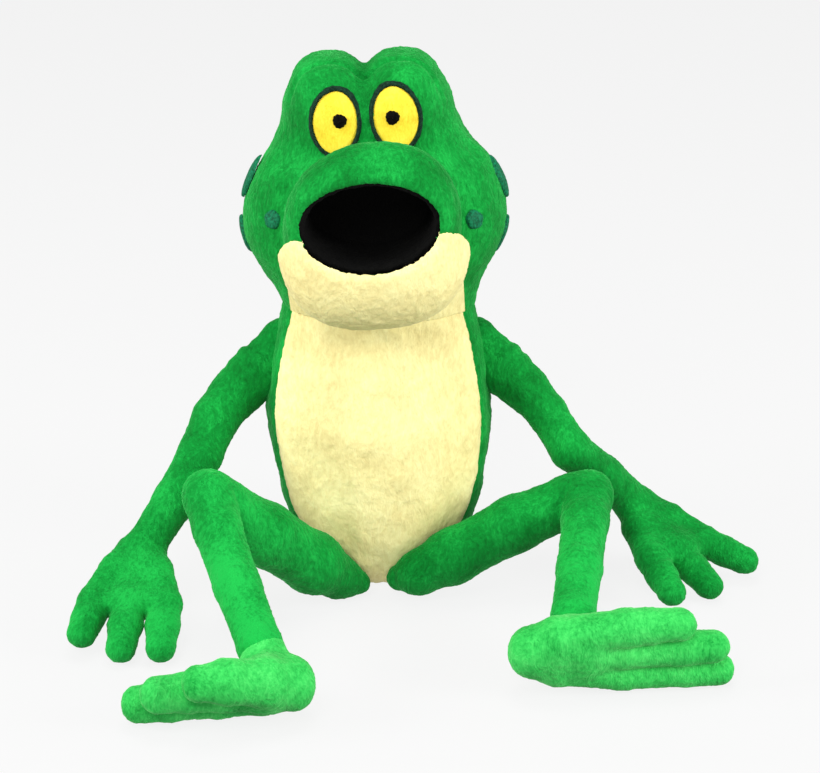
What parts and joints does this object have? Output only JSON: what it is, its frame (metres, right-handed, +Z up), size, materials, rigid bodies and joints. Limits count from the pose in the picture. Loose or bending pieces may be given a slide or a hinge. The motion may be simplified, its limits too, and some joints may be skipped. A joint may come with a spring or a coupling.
{
  "type": "hand puppet",
  "caption": "Sitting plush frog hand puppet with a wide open mouth, long soft arms and legs and a hand opening low in the back.",
  "frame": {"origin": "centre of the flat seat base on the floor", "axes": "+Z up, +Y out of the hand opening in the back, so the face looks along -Y; +X is on the puppet's left"},
  "size_m": [0.3814, 0.273, 0.3094],
  "materials": {
    "green_plush": "short soft pile, brushed different ways",
    "cream_plush": "short soft pile",
    "black_fleece": "short black pile",
    "yellow_eye": "smooth short pile",
    "outline_thread": "raised satin stitch",
    "pupil_thread": "raised satin stitch",
    "spot_thread": "flat embroidery stitch",
    "inner_lining": "thin woven lining",
    "fibre_fill": "loose fibre",
    "mouth_board": "thin bendable card or plastic"
  },
  "bodies": {
    "torso": {"belly_panel": "cream_plush", "right_side_panel": "green_plush", "left_side_panel": "green_plush", "back_panel": "green_plush", "seat_panel": "green_plush", "hand_cuff": "green_plush", "cuff_hem": "green_plush", "hand_sleeve": "inner_lining", "torso_padding": "fibre_fill"},
    "neck": {"neck_band": "green_plush"},
    "head": {"head_back_panel": "green_plush", "forehead_panel": "green_plush", "right_cheek_panel": "green_plush", "left_cheek_panel": "green_plush", "crown_plate": "green_plush", "brow_humps": "green_plush", "crown_stuffing": "fibre_fill", "cheek_stuffing": "fibre_fill", "snout_panel": "green_plush", "snout_stuffing": "fibre_fill", "finger_pocket": "inner_lining", "mouth_roof_board": "mouth_board", "mouth_roof_lining": "black_fleece", "mouth_back_lining": "black_fleece", "right_eye_white": "yellow_eye", "right_eye_outline": "outline_thread", "right_pupil": "pupil_thread", "left_eye_white": "yellow_eye", "left_eye_outline": "outline_thread", "left_pupil": "pupil_thread", "right_cheek_spots": "spot_thread", "left_cheek_spots": "spot_thread"},
    "jaw": {"jaw_panel": "cream_plush", "jaw_stuffing": "fibre_fill", "jaw_board": "mouth_board", "mouth_floor_lining": "black_fleece", "thumb_pocket": "inner_lining"},
    "right_arm": {"right_upper_arm": "green_plush", "right_arm_stuffing": "fibre_fill"},
    "right_lower_arm": {"right_forearm": "green_plush", "right_forearm_stuffing": "fibre_fill"},
    "right_palm": {"right_hand": "green_plush"},
    "right_upper_leg": {"right_thigh": "green_plush", "right_thigh_stuffing": "fibre_fill"},
    "right_lower_leg": {"right_shin": "green_plush", "right_shin_stuffing": "fibre_fill"},
    "right_sole": {"right_foot": "green_plush"},
    "left_arm": {"left_upper_arm": "green_plush", "left_arm_stuffing": "fibre_fill"},
    "left_lower_arm": {"left_forearm": "green_plush", "left_forearm_stuffing": "fibre_fill"},
    "left_palm": {"left_hand": "green_plush"},
    "left_upper_leg": {"left_thigh": "green_plush", "left_thigh_stuffing": "fibre_fill"},
    "left_lower_leg": {"left_shin": "green_plush", "left_shin_stuffing": "fibre_fill"},
    "left_sole": {"left_foot": "green_plush"}
  },
  "joints": [
    {"name": "neck_turn", "type": "hinge", "parent": "torso", "child": "neck", "pos_m": [0, 0, 0.158], "axis": [0, 0, 1], "range_deg": [-30, 30]},
    {"name": "neck_nod", "type": "hinge", "parent": "neck", "child": "head", "pos_m": [0, 0, 0.17], "axis": [1, 0, 0], "range_deg": [-12, 8]},
    {"name": "jaw_hinge", "type": "hinge", "parent": "head", "child": "jaw", "pos_m": [-0.00348, -0.036, 0.22189], "axis": [0.9981, 0, 0.0611], "range_deg": [-18, 2]},
    {"name": "right_shoulder", "type": "hinge", "parent": "torso", "child": "right_arm", "pos_m": [-0.07359, -0.00526, 0.11533], "axis": [0, 1, 0], "range_deg": [-10, 62]},
    {"name": "right_elbow", "type": "hinge", "parent": "right_arm", "child": "right_lower_arm", "pos_m": [-0.10431, -0.03243, 0.08176], "axis": [-0.6626, 0.749, 0], "range_deg": [-10, 58]},
    {"name": "right_wrist", "type": "hinge", "parent": "right_lower_arm", "child": "right_palm", "pos_m": [-0.1323, -0.06544, 0.03878], "axis": [-0.9974, 0.0715, 0], "range_deg": [-25, 35]},
    {"name": "left_shoulder", "type": "hinge", "parent": "torso", "child": "left_arm", "pos_m": [0.0751, -0.00188, 0.11454], "axis": [0, -1, 0], "range_deg": [-10, 62]},
    {"name": "left_elbow", "type": "hinge", "parent": "left_arm", "child": "left_lower_arm", "pos_m": [0.10981, -0.0201, 0.07887], "axis": [-0.4648, -0.8854, 0], "range_deg": [-10, 58]},
    {"name": "left_wrist", "type": "hinge", "parent": "left_lower_arm", "child": "left_palm", "pos_m": [0.15033, -0.00077, 0.03758], "axis": [-0.807, -0.5906, 0], "range_deg": [-25, 35]},
    {"name": "right_hip", "type": "hinge", "parent": "torso", "child": "right_upper_leg", "pos_m": [-0.0225, -0.049, 0.0135], "axis": [1, 0, 0], "range_deg": [-4, 75]},
    {"name": "right_knee", "type": "hinge", "parent": "right_upper_leg", "child": "right_lower_leg", "pos_m": [-0.09065, -0.0948, 0.08289], "axis": [0.7457, -0.1157, 0.6561], "range_deg": [-80, 5]},
    {"name": "right_ankle", "type": "hinge", "parent": "right_lower_leg", "child": "right_sole", "pos_m": [-0.05841, -0.17302, 0.03245], "axis": [0.2213, -0.8092, 0.5443], "range_deg": [-18, 18]},
    {"name": "left_hip", "type": "hinge", "parent": "torso", "child": "left_upper_leg", "pos_m": [0.0225, -0.049, 0.0135], "axis": [1, 0, 0], "range_deg": [-4, 75]},
    {"name": "left_knee", "type": "hinge", "parent": "left_upper_leg", "child": "left_lower_leg", "pos_m": [0.11828, -0.04499, 0.06214], "axis": [0.4337, 0.2246, -0.8726], "range_deg": [-80, 5]},
    {"name": "left_ankle", "type": "hinge", "parent": "left_lower_leg", "child": "left_sole", "pos_m": [0.10429, -0.13751, 0.03137], "axis": [0.0204, -0.2917, 0.9563], "range_deg": [-18, 18]}
  ]
}
